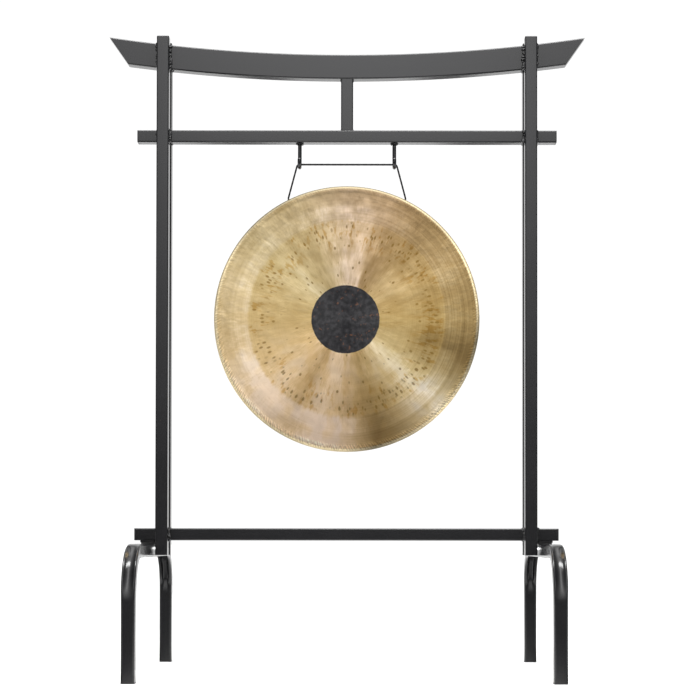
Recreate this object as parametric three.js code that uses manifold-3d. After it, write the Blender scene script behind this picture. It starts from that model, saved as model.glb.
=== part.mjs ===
// A gong stand of black square steel tube, with the gong that hangs in it.
// Each side is a front and a rear post with the rails sandwiched between them: a curved top rail,
// a second rail with two hooks under it, and a bottom rail. Two bent tube feet run front to back
// outside the posts. The gong hangs on one cord that lies over both hooks.
// Millimetres, +Z up, the front towards -Y. The origin is on the floor, under the middle.

import * as THREE from 'three';
import { mergeVertices } from 'three/addons/utils/BufferGeometryUtils.js';
import Module from 'manifold-3d';

// Clearances, and how far a cutting shape runs past what it cuts
const FIT = 0.3;
const CUT = 2;

// Square tube of the posts, rails and strut
const TUBE = 30;
const WALL = 1.5;
const CORNER = 3;

// Posts, left and right, each a front and a rear one with a rail's width between them
const POST_SPACING = 904;
const POST_LENGTH = 1275;
const POST_BELOW_RAIL = 36;
const BASE_PLATE = 2;

// Plastic end caps: a flange on the tube's end and a plug inside it
const CAP = 3;
const PLUG = 12;

// Rails, each with the length that stands out past the posts. Of the posts' length, a share stays
// clear between the two straight rails, so that shorter posts lower the second rail too.
const BOTTOM_OVERHANG = 55;
const SECOND_OVERHANG = 51;
const CLEAR_SHARE = 953.5 / 1275;

// Top rail: twice as deep as the posts' tube, bent to an arc whose ends rise, with its middle
// some way below the posts' tops
const TOP_DEPTH = 60;
const TOP_BELOW_POSTS = 38;
const TOP_ARC = 4050;
const TOP_OVERHANG = 121;
const TOP_CUT_ANGLE = THREE.MathUtils.degToRad(35);
const TOP_PLATE = 2;

// Feet: a square tube bent to a U, front leg, level bar and rear leg
const FOOT_TUBE = 32;
const FOOT_WALL = 1.5;
const FOOT_CORNER = 4;
const FOOT_DEPTH = 700;
const FOOT_HEIGHT = 315;
const FOOT_BEND = 94;
const TIP = 3;
const TIP_PLUG = 14;

// Between the foot bar and the frame: spacer rings at the posts, and a plate and pad at the rail
const SPACER = 4;
const SPACER_RADIUS = 10;
const PAD = 3.5;
const PLATE = 5;
const PLATE_MARGIN = 5;
const PLATE_CORNER = 6;

// Bolts through the foot bar into a nut inside each post
const BOLT = 8;
const BOLT_HOLE = 8.6;
const BOLT_FLANGE = 17;
const BOLT_FLANGE_THICK = 1.6;
const BOLT_HEAD = 13;
const BOLT_HEAD_HEIGHT = 5.3;
const BOLT_END = 3;
const NUT_HEIGHT = 6.5;

// Hooks of round rod, bent towards the front
const ROD = 9.5;
const HOOK_SPACING = 234;
const HOOK_REACH = 62;
const HOOK_BEND = 11.75;
const HOOK_PRONG = 5;
const COLLAR_RADIUS = 11;
const COLLAR_HEIGHT = 5;

// Gong: a bronze disc, slightly domed, with its rim turned back and drawn in
const GONG_RADIUS = 327.5;
const GONG_WALL = 2;
const GONG_DOME = 5;
const GONG_EDGE = 8;
const RIM_DEPTH = 65;
const RIM_DRAW = 6;
const RIM_HOLE = 8;
const RIM_HOLE_DEPTH = 18;
const RIM_HOLE_ANGLE = THREE.MathUtils.degToRad(26);
const GONG_DROP = 82.5;

// Cord over the hooks, through the rim holes to a knot inside the rim
const CORD = 4;
const CORD_BEND = 8;
const CORD_STANDOFF = 4;
const KNOT = 11;
const KNOT_TAIL = 16;

// Counts of the flat faces that stand for round ones
const CORNER_DIVISIONS = 2;
const BEND_RINGS = 7;
const ARC_RINGS = 16;
const ROD_SIDES = 12;
const CORD_SIDES = 8;
const BOLT_SIDES = 16;
const GONG_SIDES = 72;
const DOME_RINGS = 3;
const EDGE_RINGS = 3;

// Places that follow from the sizes
const POST_X = POST_SPACING / 2;
const POST_OUTSIDE = POST_X + TUBE / 2;
const BOTTOM_RAIL_Z = FOOT_HEIGHT + PAD + PLATE + TUBE / 2;
const POST_BOTTOM = BOTTOM_RAIL_Z - TUBE / 2 - POST_BELOW_RAIL;
const POST_TOP = POST_BOTTOM + POST_LENGTH;
const CLEAR_HEIGHT = POST_LENGTH * CLEAR_SHARE;
const SECOND_RAIL_Z = BOTTOM_RAIL_Z + CLEAR_HEIGHT + TUBE;
const STRUT_BOTTOM = SECOND_RAIL_Z + TUBE / 2;
const TOP_RAIL_TOP = POST_TOP - TOP_BELOW_POSTS;
const STRUT_LENGTH = TOP_RAIL_TOP - TOP_DEPTH - STRUT_BOTTOM;
const FOOT_X = POST_OUTSIDE + SPACER + FOOT_TUBE / 2;
const FOOT_BAR_Z = FOOT_HEIGHT - FOOT_TUBE / 2;
const TROUGH_Y = -HOOK_BEND;
const TROUGH_Z = SECOND_RAIL_Z - TUBE / 2 - HOOK_REACH;

const SIDES = [['left', -1], ['right', 1]];
const DEPTHS = [['front', -1], ['rear', 1]];
const X_AXIS = new THREE.Vector3(1, 0, 0);
const Y_AXIS = new THREE.Vector3(0, 1, 0);
const Z_AXIS = new THREE.Vector3(0, 0, 1);

// Materials, with the colours of the real finishes
const finish = (color, roughness, metalness) =>
  new THREE.MeshStandardMaterial({ color, roughness, metalness });
const POWDER_COAT = finish(0x232325, 0.38, 0.2);
const PLASTIC = finish(0x161617, 0.5, 0);
const RUBBER = finish(0x101010, 0.85, 0);
const ZINC = finish(0xa9abad, 0.35, 0.9);
const BRONZE = finish(0xa98a55, 0.34, 0.95);
const CORD_BLACK = finish(0x0c0c0d, 0.8, 0);

const wasm = await Module();
wasm.setup();

// A closed geometry as a solid that can be joined and cut.
function solid(geometry) {
  const bare = geometry.clone();
  bare.deleteAttribute('normal');
  bare.deleteAttribute('uv');
  const merged = mergeVertices(bare);
  return new wasm.Manifold(new wasm.Mesh({
    numProp: 3,
    vertProperties: merged.attributes.position.array,
    triVerts: new Uint32Array(merged.index.array),
  }));
}

// A solid as a geometry for a mesh.
function shown(made) {
  const mesh = made.getMesh();
  const geometry = new THREE.BufferGeometry();
  geometry.setAttribute('position', new THREE.BufferAttribute(mesh.vertProperties, mesh.numProp));
  geometry.setIndex(new THREE.BufferAttribute(mesh.triVerts, 1));
  geometry.computeVertexNormals();
  return geometry;
}

// The centreline of a bent bar or cord: straight runs, and turns about an axis square to the run.
class BarPath extends THREE.Curve {
  constructor(start, direction) {
    super();
    this.points = [start.clone()];
    this.tangents = [direction.clone().normalize()];
  }

  run(length) {
    const direction = this.tangents.at(-1);
    this.points.push(this.points.at(-1).clone().addScaledVector(direction, length));
    this.tangents.push(direction.clone());
    return this;
  }

  turn(radius, angle, axis, rings) {
    const start = this.points.at(-1);
    const ahead = this.tangents.at(-1);
    const side = axis.clone().cross(ahead);
    for (let i = 1; i <= rings; i += 1) {
      const turned = (angle * i) / rings;
      this.points.push(start.clone()
        .addScaledVector(side, radius * (1 - Math.cos(turned)))
        .addScaledVector(ahead, radius * Math.sin(turned)));
      this.tangents.push(ahead.clone().applyAxisAngle(axis, turned));
    }
    return this;
  }

  get steps() {
    return this.points.length - 1;
  }

  getPoint(t, target = new THREE.Vector3()) {
    return target.copy(this.points[Math.round(t * this.steps)]);
  }

  getTangent(t, target = new THREE.Vector3()) {
    return target.copy(this.tangents[Math.round(t * this.steps)]);
  }

  // Rings lie at the stations themselves, not at equal lengths.
  getUtoTmapping(u) {
    return u;
  }
}

// A rectangle with round corners, centred on the origin.
function roundedRectangle(width, height, radius, Kind = THREE.Shape) {
  const x = width / 2 - radius;
  const y = height / 2 - radius;
  const outline = new Kind();
  outline.absarc(x, y, radius, 0, Math.PI / 2);
  outline.absarc(-x, y, radius, Math.PI / 2, Math.PI);
  outline.absarc(-x, -y, radius, Math.PI, 1.5 * Math.PI);
  outline.absarc(x, -y, radius, 1.5 * Math.PI, 2 * Math.PI);
  return outline;
}

// The section of a hollow rectangular tube.
function tubeSection(width, height, wall, corner) {
  const section = roundedRectangle(width, height, corner);
  const inner = Math.max(corner - wall, wall / 2);
  section.holes.push(roundedRectangle(width - 2 * wall, height - 2 * wall, inner, THREE.Path));
  return section;
}

function disc(diameter) {
  const outline = new THREE.Shape();
  outline.absarc(0, 0, diameter / 2, 0, 2 * Math.PI);
  return outline;
}

function straight(section, length, divisions = CORNER_DIVISIONS) {
  return new THREE.ExtrudeGeometry(section, {
    depth: length, steps: 1, bevelEnabled: false, curveSegments: divisions,
  });
}

function bent(section, path, divisions = CORNER_DIVISIONS) {
  return new THREE.ExtrudeGeometry(section, {
    extrudePath: path, steps: path.steps, curveSegments: divisions,
  });
}

// A flat ring, its axis along Y, from the named outside and bore.
function ring(outside, bore, thickness) {
  return new THREE.LatheGeometry([
    new THREE.Vector2(bore / 2, 0),
    new THREE.Vector2(outside / 2, 0),
    new THREE.Vector2(outside / 2, thickness),
    new THREE.Vector2(bore / 2, thickness),
    new THREE.Vector2(bore / 2, 0),
  ], BOLT_SIDES);
}

const stand = new THREE.Group();

function place(name, geometry, material, position = [0, 0, 0], parent = stand) {
  const mesh = new THREE.Mesh(geometry, material);
  mesh.name = name;
  mesh.position.set(...position);
  parent.add(mesh);
  return mesh;
}

// End cap for a square tube: its flange starts at height 0 and its plug reaches down into the tube.
function endCap(tube, wall, corner, flange, plug) {
  const fitting = tube - 2 * wall - 2 * FIT;
  const inner = Math.max(corner - wall, wall / 2);
  const top = straight(roundedRectangle(tube, tube, corner), flange);
  const body = straight(roundedRectangle(fitting, fitting, inner), plug + flange / 2);
  body.translate(0, 0, -plug);
  return shown(solid(top).add(solid(body)));
}

const frameSection = tubeSection(TUBE, TUBE, WALL, CORNER);

// Posts, with a bolt hole in the outer wall, a cap on top and a plate welded to the bottom
const boltHole = new THREE.CylinderGeometry(BOLT_HOLE / 2, BOLT_HOLE / 2, WALL + 2 * CUT, BOLT_SIDES);
boltHole.rotateZ(Math.PI / 2);
const postBody = POST_LENGTH - CAP - BASE_PLATE;

for (const [side, x] of SIDES) {
  for (const [depth, y] of DEPTHS) {
    const foot = POST_BOTTOM + BASE_PLATE;
    const hole = boltHole.clone();
    hole.translate(x * (TUBE - WALL) / 2, 0, FOOT_BAR_Z - foot);
    const post = solid(straight(frameSection, postBody)).subtract(solid(hole));
    const where = [x * POST_X, y * TUBE];
    place(`post_${depth}_${side}`, shown(post), POWDER_COAT, [...where, foot]);
    place(`post_cap_${depth}_${side}`, endCap(TUBE, WALL, CORNER, CAP, PLUG), PLASTIC,
      [...where, POST_TOP - CAP]);
    place(`post_base_${depth}_${side}`, straight(roundedRectangle(TUBE, TUBE, CORNER), BASE_PLATE),
      POWDER_COAT, [...where, POST_BOTTOM]);
  }
}

// Straight rails with a cap in each end
function rail(name, overhang, height) {
  const half = POST_OUTSIDE + overhang - CAP;
  const body = straight(frameSection, 2 * half);
  body.rotateY(Math.PI / 2);
  place(name, body, POWDER_COAT, [-half, 0, height]);
  for (const [side, x] of SIDES) {
    const cap = endCap(TUBE, WALL, CORNER, CAP, PLUG);
    cap.rotateY(x * Math.PI / 2);
    place(`${name}_cap_${side}`, cap, PLASTIC, [x * half, 0, height]);
  }
}
rail('bottom_rail', BOTTOM_OVERHANG, BOTTOM_RAIL_Z);
rail('second_rail', SECOND_OVERHANG, SECOND_RAIL_Z);

// Centre strut between the second rail and the top rail
place('centre_strut', straight(frameSection, STRUT_LENGTH), POWDER_COAT, [0, 0, STRUT_BOTTOM]);

// Top rail: the arc of its upper edge has its lowest point in the middle
const tipX = POST_OUTSIDE + TOP_OVERHANG;
const tipZ = TOP_RAIL_TOP + TOP_ARC - Math.sqrt(TOP_ARC ** 2 - tipX ** 2);
const topMiddleRadius = TOP_ARC + TOP_DEPTH / 2;
const topSweep = Math.asin((tipX + TOP_DEPTH) / topMiddleRadius);
const topStart = new THREE.Vector3(
  -topMiddleRadius * Math.sin(topSweep), 0, TOP_RAIL_TOP + TOP_ARC - topMiddleRadius * Math.cos(topSweep));
const topDirection = new THREE.Vector3(Math.cos(topSweep), 0, -Math.sin(topSweep));
const topPath = new BarPath(topStart, topDirection)
  .turn(topMiddleRadius, 2 * topSweep, Y_AXIS.clone().negate(), ARC_RINGS);

// A slab parallel to the slanted cut, between two distances inward from it.
function cutSlab(x, near, far) {
  const down = new THREE.Vector2(-x * Math.sin(TOP_CUT_ANGLE), -Math.cos(TOP_CUT_ANGLE));
  const inward = new THREE.Vector2(-x * Math.cos(TOP_CUT_ANGLE), Math.sin(TOP_CUT_ANGLE));
  const tip = new THREE.Vector2(x * tipX, tipZ);
  const corners = [[-1, near], [2, near], [2, far], [-1, far]].map(([along, into]) =>
    tip.clone().addScaledVector(down, along * TOP_DEPTH).addScaledVector(inward, into));
  const slab = straight(new THREE.Shape(corners), TUBE + 2 * CUT);
  slab.rotateX(Math.PI / 2);
  slab.translate(0, TUBE / 2 + CUT, 0);
  return solid(slab);
}
let topRail = solid(bent(tubeSection(TUBE, TOP_DEPTH, WALL, CORNER), topPath));
const topBlank = solid(bent(roundedRectangle(TUBE, TOP_DEPTH, CORNER), topPath));
for (const [side, x] of SIDES) {
  topRail = topRail.subtract(cutSlab(x, -2 * TOP_DEPTH, TOP_PLATE));
  place(`top_rail_end_${side}`, shown(topBlank.intersect(cutSlab(x, 0, TOP_PLATE))), POWDER_COAT);
}
place('top_rail', shown(topRail), POWDER_COAT);

// Hooks: a rod down from the second rail, round the trough and up in a short prong
const hookShank = HOOK_REACH - HOOK_BEND;
for (const [side, x] of SIDES) {
  const path = new BarPath(new THREE.Vector3(), Z_AXIS.clone().negate())
    .run(hookShank)
    .turn(HOOK_BEND, Math.PI, X_AXIS.clone().negate(), 2 * BEND_RINGS)
    .run(HOOK_PRONG);
  const end = new THREE.SphereGeometry(ROD / 2, ROD_SIDES, ROD_SIDES / 2);
  end.rotateX(Math.PI / 2);
  end.translate(...path.points.at(-1).toArray());
  const collar = new THREE.LatheGeometry([
    new THREE.Vector2(0, -COLLAR_HEIGHT),
    new THREE.Vector2(ROD / 2 + FIT, -COLLAR_HEIGHT),
    new THREE.Vector2((ROD / 2 + COLLAR_RADIUS) / 2, -COLLAR_HEIGHT / 3),
    new THREE.Vector2(COLLAR_RADIUS, 0),
    new THREE.Vector2(0, 0),
  ], ROD_SIDES);
  collar.rotateX(Math.PI / 2);
  const hook = solid(bent(disc(ROD), path, ROD_SIDES / 2)).add(solid(end)).add(solid(collar));
  place(`gong_hook_${side}`, shown(hook), POWDER_COAT,
    [x * HOOK_SPACING / 2, 0, SECOND_RAIL_Z - TUBE / 2]);
}

// Feet, drilled for the bolts, with a cap on each leg
const legRun = FOOT_HEIGHT - FOOT_TUBE / 2 - FOOT_BEND - TIP;
const footPath = new BarPath(new THREE.Vector3(0, -FOOT_DEPTH / 2, TIP), Z_AXIS)
  .run(legRun)
  .turn(FOOT_BEND, Math.PI / 2, X_AXIS.clone().negate(), BEND_RINGS)
  .run(FOOT_DEPTH - 2 * FOOT_BEND)
  .turn(FOOT_BEND, Math.PI / 2, X_AXIS.clone().negate(), BEND_RINGS)
  .run(legRun);
const footSection = tubeSection(FOOT_TUBE, FOOT_TUBE, FOOT_WALL, FOOT_CORNER);
const footHole = new THREE.CylinderGeometry(
  BOLT_HOLE / 2, BOLT_HOLE / 2, FOOT_TUBE + 2 * CUT, BOLT_SIDES);
footHole.rotateZ(Math.PI / 2);
let footTube = solid(bent(footSection, footPath));
for (const [, y] of DEPTHS) {
  const hole = footHole.clone();
  hole.translate(0, y * TUBE, FOOT_BAR_Z);
  footTube = footTube.subtract(solid(hole));
}
for (const [side, x] of SIDES) {
  place(`foot_${side}`, shown(footTube), POWDER_COAT, [x * FOOT_X, 0, 0]);
  for (const [depth, y] of DEPTHS) {
    const tip = endCap(FOOT_TUBE, FOOT_WALL, FOOT_CORNER, TIP, TIP_PLUG);
    tip.rotateX(Math.PI);
    place(`foot_tip_${depth}_${side}`, tip, PLASTIC, [x * FOOT_X, y * FOOT_DEPTH / 2, TIP]);
  }
}

// Plate and pad between each end of the bottom rail and the foot bar under it
const plateLength = FOOT_TUBE + SPACER + PLATE_MARGIN - FIT;
const plateX = POST_OUTSIDE + FIT + plateLength / 2;
const padLength = plateLength - 2 * CUT;
for (const [side, x] of SIDES) {
  place(`stub_plate_${side}`, straight(roundedRectangle(plateLength, TUBE, PLATE_CORNER), PLATE),
    POWDER_COAT, [x * plateX, 0, FOOT_HEIGHT + PAD]);
  place(`stub_pad_${side}`, straight(roundedRectangle(padLength, TUBE, PLATE_CORNER), PAD),
    RUBBER, [x * plateX, 0, FOOT_HEIGHT]);
}

// Bolts from the outside of the foot bar, a spacer ring at the post and a nut inside the post
const shankLength = FOOT_TUBE + SPACER + WALL + NUT_HEIGHT + BOLT_END;
const bolt = solid(new THREE.CylinderGeometry(BOLT / 2, BOLT / 2, shankLength, BOLT_SIDES)
  .translate(0, -shankLength / 2, 0))
  .add(solid(new THREE.CylinderGeometry(
    BOLT_FLANGE / 2, BOLT_FLANGE / 2, BOLT_FLANGE_THICK, BOLT_SIDES)
    .translate(0, BOLT_FLANGE_THICK / 2, 0)))
  .add(solid(new THREE.CylinderGeometry(
    BOLT_HEAD / Math.sqrt(3), BOLT_HEAD / Math.sqrt(3), BOLT_HEAD_HEIGHT, 6)
    .translate(0, BOLT_HEAD_HEIGHT / 2, 0)));
const nut = solid(new THREE.CylinderGeometry(
  BOLT_HEAD / Math.sqrt(3), BOLT_HEAD / Math.sqrt(3), NUT_HEIGHT, 6)
  .translate(0, NUT_HEIGHT / 2, 0))
  .subtract(solid(new THREE.CylinderGeometry(
    BOLT_HOLE / 2, BOLT_HOLE / 2, 2 * NUT_HEIGHT + 2 * CUT, BOLT_SIDES)));
for (const [side, x] of SIDES) {
  for (const [depth, y] of DEPTHS) {
    const outward = -x * Math.PI / 2;
    const head = place(`foot_bolt_${depth}_${side}`, shown(bolt), ZINC,
      [x * (FOOT_X + FOOT_TUBE / 2), y * TUBE, FOOT_BAR_Z]);
    head.rotation.z = outward;
    const spacer = place(`foot_spacer_${depth}_${side}`, ring(2 * SPACER_RADIUS, BOLT_HOLE, SPACER),
      ZINC, [x * POST_OUTSIDE, y * TUBE, FOOT_BAR_Z]);
    spacer.rotation.z = outward;
    const weldNut = place(`foot_nut_${depth}_${side}`, shown(nut), ZINC,
      [x * (POST_OUTSIDE - WALL - NUT_HEIGHT), y * TUBE, FOOT_BAR_Z]);
    weldNut.rotation.z = outward;
  }
}

// The gong's outline, radius and depth behind the face, round both sides of its wall
function gongOutline() {
  const points = [];
  const dome = (radius, behind) =>
    points.push(new THREE.Vector2(radius, behind + GONG_DOME * (radius / GONG_RADIUS) ** 2));
  const face = GONG_RADIUS - GONG_EDGE;
  const edgeStart = GONG_DOME * (face / GONG_RADIUS) ** 2;
  const edge = (radius, i) => {
    const turned = (Math.PI / 2) * (i / EDGE_RINGS);
    points.push(new THREE.Vector2(
      face + radius * Math.sin(turned), edgeStart + GONG_EDGE - radius * Math.cos(turned)));
  };
  for (let i = 0; i < DOME_RINGS; i += 1) dome((face * i) / DOME_RINGS, 0);
  for (let i = 0; i <= EDGE_RINGS; i += 1) edge(GONG_EDGE, i);
  points.push(new THREE.Vector2(GONG_RADIUS - RIM_DRAW, RIM_DEPTH));
  points.push(new THREE.Vector2(GONG_RADIUS - RIM_DRAW - GONG_WALL, RIM_DEPTH));
  for (let i = EDGE_RINGS; i >= 0; i -= 1) edge(GONG_EDGE - GONG_WALL, i);
  for (let i = DOME_RINGS - 1; i >= 0; i -= 1) dome((face * i) / DOME_RINGS, GONG_WALL);
  return points;
}

// How far behind the face the centre of mass of a turned outline lies.
function balanceDepth(outline) {
  let volume = 0;
  let moment = 0;
  outline.forEach((a, i) => {
    const b = outline[(i + 1) % outline.length];
    const cross = a.x * b.y - b.x * a.y;
    volume += cross * (a.x + b.x);
    moment += cross * ((a.x + b.x) * (a.y + b.y) + a.x * a.y + b.x * b.y) / 4;
  });
  return moment / volume;
}

// The rim's outer radius at the holes, and the gong's place so that it hangs in balance
const outline = gongOutline();
const edgeEnd = GONG_EDGE + GONG_DOME * ((GONG_RADIUS - GONG_EDGE) / GONG_RADIUS) ** 2;
const rimSlope = RIM_DRAW / (RIM_DEPTH - edgeEnd);
const rimRadius = GONG_RADIUS - rimSlope * (RIM_HOLE_DEPTH - edgeEnd);
const holeRadius = rimRadius - GONG_WALL / 2;
const holeX = holeRadius * Math.sin(RIM_HOLE_ANGLE);
const holeRise = holeRadius * Math.cos(RIM_HOLE_ANGLE);
const holeZ = TROUGH_Z - GONG_DROP;
const gongLean = Math.atan2(RIM_HOLE_DEPTH - balanceDepth(outline), holeRise);
const gongHanger = new THREE.Group();
gongHanger.position.set(0, TROUGH_Y, holeZ);
gongHanger.rotation.x = gongLean;
stand.add(gongHanger);

let gong = solid(new THREE.LatheGeometry(outline, GONG_SIDES));
for (const [, x] of SIDES) {
  const hole = new THREE.CylinderGeometry(RIM_HOLE / 2, RIM_HOLE / 2, GONG_WALL + 2 * CUT, ROD_SIDES);
  hole.translate(0, holeRadius, 0);
  hole.rotateX(Math.PI / 2);
  hole.rotateY(x * RIM_HOLE_ANGLE);
  hole.translate(0, RIM_HOLE_DEPTH, 0);
  gong = gong.subtract(solid(hole));
}
place('gong', shown(gong), BRONZE, [0, -RIM_HOLE_DEPTH, -holeRise], gongHanger);

// The cord wraps the hooks' rods from outside, so each drop leaves on a tangent to the rod
const wrap = (ROD + CORD) / 2 + FIT;
const bendRadius = rimRadius + CORD_STANDOFF;
const bendPoint = new THREE.Vector2(
  bendRadius * Math.sin(RIM_HOLE_ANGLE) - HOOK_SPACING / 2,
  holeZ - TROUGH_Z + bendRadius * Math.cos(RIM_HOLE_ANGLE) - holeRise);
const slope = Math.atan2(bendPoint.x, -bendPoint.y) - Math.asin(wrap / bendPoint.length());
const wrapEnd = Math.PI / 2 - slope - (CORD / 2 + FIT) / wrap;
const cordStart = new THREE.Vector3(
  -HOOK_SPACING / 2 - wrap * Math.sin(wrapEnd), TROUGH_Y, TROUGH_Z + wrap * Math.cos(wrapEnd));
const overHooks = new BarPath(cordStart, new THREE.Vector3(Math.cos(wrapEnd), 0, Math.sin(wrapEnd)))
  .turn(wrap, wrapEnd, Y_AXIS, BEND_RINGS)
  .run(HOOK_SPACING)
  .turn(wrap, wrapEnd, Y_AXIS, BEND_RINGS);
place('cord_over_hooks', bent(disc(CORD), overHooks, CORD_SIDES / 2), CORD_BLACK);

// Each drop bends square into its rim hole and ends at its knot, which sits on the hole's edge
const cordTurn = slope + RIM_HOLE_ANGLE;
const bendRun = CORD_BEND * Math.tan(cordTurn / 2);
const dropRun = Math.sqrt(bendPoint.lengthSq() - wrap ** 2) - bendRun;
const knotReach = KNOT / 2 + FIT;
const knotDepth = Math.sqrt(knotReach ** 2 - (RIM_HOLE / 2) ** 2) + rimSlope * RIM_HOLE / 2;
const throughRim = CORD_STANDOFF - bendRun + GONG_WALL + knotDepth - knotReach;
for (const [side, x] of SIDES) {
  const drop = new BarPath(
    new THREE.Vector3(
      x * (HOOK_SPACING / 2 + wrap * Math.cos(slope)), TROUGH_Y, TROUGH_Z + wrap * Math.sin(slope)),
    new THREE.Vector3(x * Math.sin(slope), 0, -Math.cos(slope)))
    .run(dropRun)
    .turn(CORD_BEND, cordTurn, Y_AXIS.clone().multiplyScalar(x), BEND_RINGS)
    .run(throughRim);
  place(`cord_drop_${side}`, bent(disc(CORD), drop, CORD_SIDES / 2), CORD_BLACK);
  const inward = drop.tangents.at(-1);
  const middle = drop.points.at(-1).clone().addScaledVector(inward, knotReach);
  const tail = new BarPath(middle, inward).run(KNOT / 2 + KNOT_TAIL);
  const ball = new THREE.SphereGeometry(KNOT / 2, ROD_SIDES, ROD_SIDES / 2);
  ball.translate(...middle.toArray());
  const knot = solid(ball).add(solid(bent(disc(CORD), tail, CORD_SIDES / 2)));
  place(`cord_knot_${side}`, shown(knot), CORD_BLACK);
}

export default stand;
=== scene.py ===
"""The looks of a gong stand: a black powder-coated frame of square steel tube on two bent feet,
and a bronze gong on one cord over two hooks. Metres, +Z up, the front towards -Y."""
import math

import bmesh
import bpy
from mathutils import Matrix, Vector


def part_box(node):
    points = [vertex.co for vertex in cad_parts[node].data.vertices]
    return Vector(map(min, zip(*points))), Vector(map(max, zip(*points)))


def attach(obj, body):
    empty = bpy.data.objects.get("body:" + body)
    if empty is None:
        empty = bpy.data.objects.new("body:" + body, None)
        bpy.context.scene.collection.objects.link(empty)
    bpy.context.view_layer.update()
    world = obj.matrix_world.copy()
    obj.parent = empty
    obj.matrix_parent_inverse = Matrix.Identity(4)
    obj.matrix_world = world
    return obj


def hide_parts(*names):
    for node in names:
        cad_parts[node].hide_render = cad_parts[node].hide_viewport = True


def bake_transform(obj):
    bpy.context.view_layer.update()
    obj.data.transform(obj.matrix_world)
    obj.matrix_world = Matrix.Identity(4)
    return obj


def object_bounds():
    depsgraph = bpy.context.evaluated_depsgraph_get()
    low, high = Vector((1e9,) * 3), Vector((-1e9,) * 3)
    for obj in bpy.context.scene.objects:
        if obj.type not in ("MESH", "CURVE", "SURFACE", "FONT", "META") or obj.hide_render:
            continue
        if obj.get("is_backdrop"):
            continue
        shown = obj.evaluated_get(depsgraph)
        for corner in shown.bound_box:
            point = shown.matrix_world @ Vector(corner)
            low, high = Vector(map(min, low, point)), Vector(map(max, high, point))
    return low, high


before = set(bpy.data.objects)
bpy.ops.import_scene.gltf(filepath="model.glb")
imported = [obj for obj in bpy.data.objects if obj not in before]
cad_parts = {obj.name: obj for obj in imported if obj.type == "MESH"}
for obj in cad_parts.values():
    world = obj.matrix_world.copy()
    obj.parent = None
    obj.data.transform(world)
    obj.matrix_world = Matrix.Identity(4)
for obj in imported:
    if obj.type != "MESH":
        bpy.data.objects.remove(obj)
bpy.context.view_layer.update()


# The camera stands low in front of the stand and a little to its right.
# It is a long lens with a raised front, so the posts stay upright in the picture.
def placed(name, data):
    """A new object in the scene."""
    thing = bpy.data.objects.new(name, data)
    bpy.context.scene.collection.objects.link(thing)
    return thing


CAMERA_PLACE = (0.0498, -4.1, 0.31815)
CAMERA_TILT, CAMERA_ROLL = 0.0179, 0.0012
camera_data = bpy.data.cameras.new("camera")
camera_data.lens, camera_data.sensor_width = 85.44, 36.0
camera_data.shift_x, camera_data.shift_y = -0.0239, 0.2329
camera = placed("camera", camera_data)
camera.matrix_world = (
    Matrix.Translation(CAMERA_PLACE)
    @ Matrix.Rotation(math.pi / 2 + CAMERA_TILT, 4, "X")
    @ Matrix.Rotation(CAMERA_ROLL, 4, "Z"))
bpy.context.scene.camera = camera
bpy.context.scene.view_settings.view_transform = "Standard"


# The gong's cord: one limp braided cord over both hooks, whose ends pass through holes in the
# gong's rim and are knotted inside it. It is pulled taut by the gong's weight.
class Value:
    """What a node gives. A sum written with it becomes more nodes in the same tree."""

    def __init__(self, socket):
        self.socket = socket
        self.tree = socket.id_data
        self.is_vector = socket.type == "VECTOR"

    def through(self, operation, *others):
        """This value put through one operation of a maths node."""
        kind = "ShaderNodeVectorMath" if self.is_vector else "ShaderNodeMath"
        gives_number = operation in ("LENGTH", "DOT_PRODUCT")
        return add(self.tree, kind, dict(enumerate((self, *others))),
                   output="Value" if gives_number else 0, operation=operation)

    def also(self, output):
        """Another output of the same node."""
        return Value(self.socket.node.outputs[output])

    def __add__(self, other):
        return self.through("ADD", other)

    def __sub__(self, other):
        return self.through("SUBTRACT", other)

    def __rsub__(self, other):
        return add(self.tree, "ShaderNodeMath", {0: other, 1: self}, operation="SUBTRACT")

    def __mul__(self, other):
        if self.is_vector and not isinstance(other, tuple):
            return add(self.tree, "ShaderNodeVectorMath", {0: self, "Scale": other},
                       operation="SCALE")
        return self.through("MULTIPLY", other)

    __rmul__ = __mul__

    def __truediv__(self, other):
        return self.through("DIVIDE", other)

    def __rtruediv__(self, other):
        return add(self.tree, "ShaderNodeMath", {0: other, 1: self}, operation="DIVIDE")

    def __abs__(self):
        return self.through("ABSOLUTE")

    def at_least(self, other):
        """The greater of two values."""
        return self.through("MAXIMUM", other)

    def into(self, kind, values=None, **settings):
        """This geometry put through one more node."""
        return add(self.tree, f"GeometryNode{kind}", {0: self, **(values or {})}, **settings)


def set_inputs(node, values):
    """Sets a node's inputs. Each takes a plain value, or what another node gives."""
    for name, value in values.items():
        if isinstance(value, Value):
            node.id_data.links.new(value.socket, node.inputs[name])
        else:
            node.inputs[name].default_value = value


def add(tree, kind, values=None, output=0, **settings):
    """Adds a node to a tree, and gives what comes out of it."""
    node = tree.nodes.new(kind)
    for name, value in settings.items():
        setattr(node, name, value)
    set_inputs(node, values or {})
    return Value(node.outputs[output]) if len(node.outputs) else None


def new_group(kind, name, takes):
    """A group of nodes with named inputs. One without a default is a geometry or a material."""
    tree = bpy.data.node_groups.new(name, kind)
    for socket, default in takes.items():
        if default is None:
            socket_kind = "Material" if "Material" in socket else "Geometry"
        else:
            socket_kind = "Int" if isinstance(default, int) else "Float"
        made = tree.interface.new_socket(
            socket, in_out="INPUT", socket_type=f"NodeSocket{socket_kind}")
        if default is not None:
            made.default_value = default
    given = tree.nodes.new("NodeGroupInput").outputs
    return tree, {socket: Value(given[socket]) for socket in takes}


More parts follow.
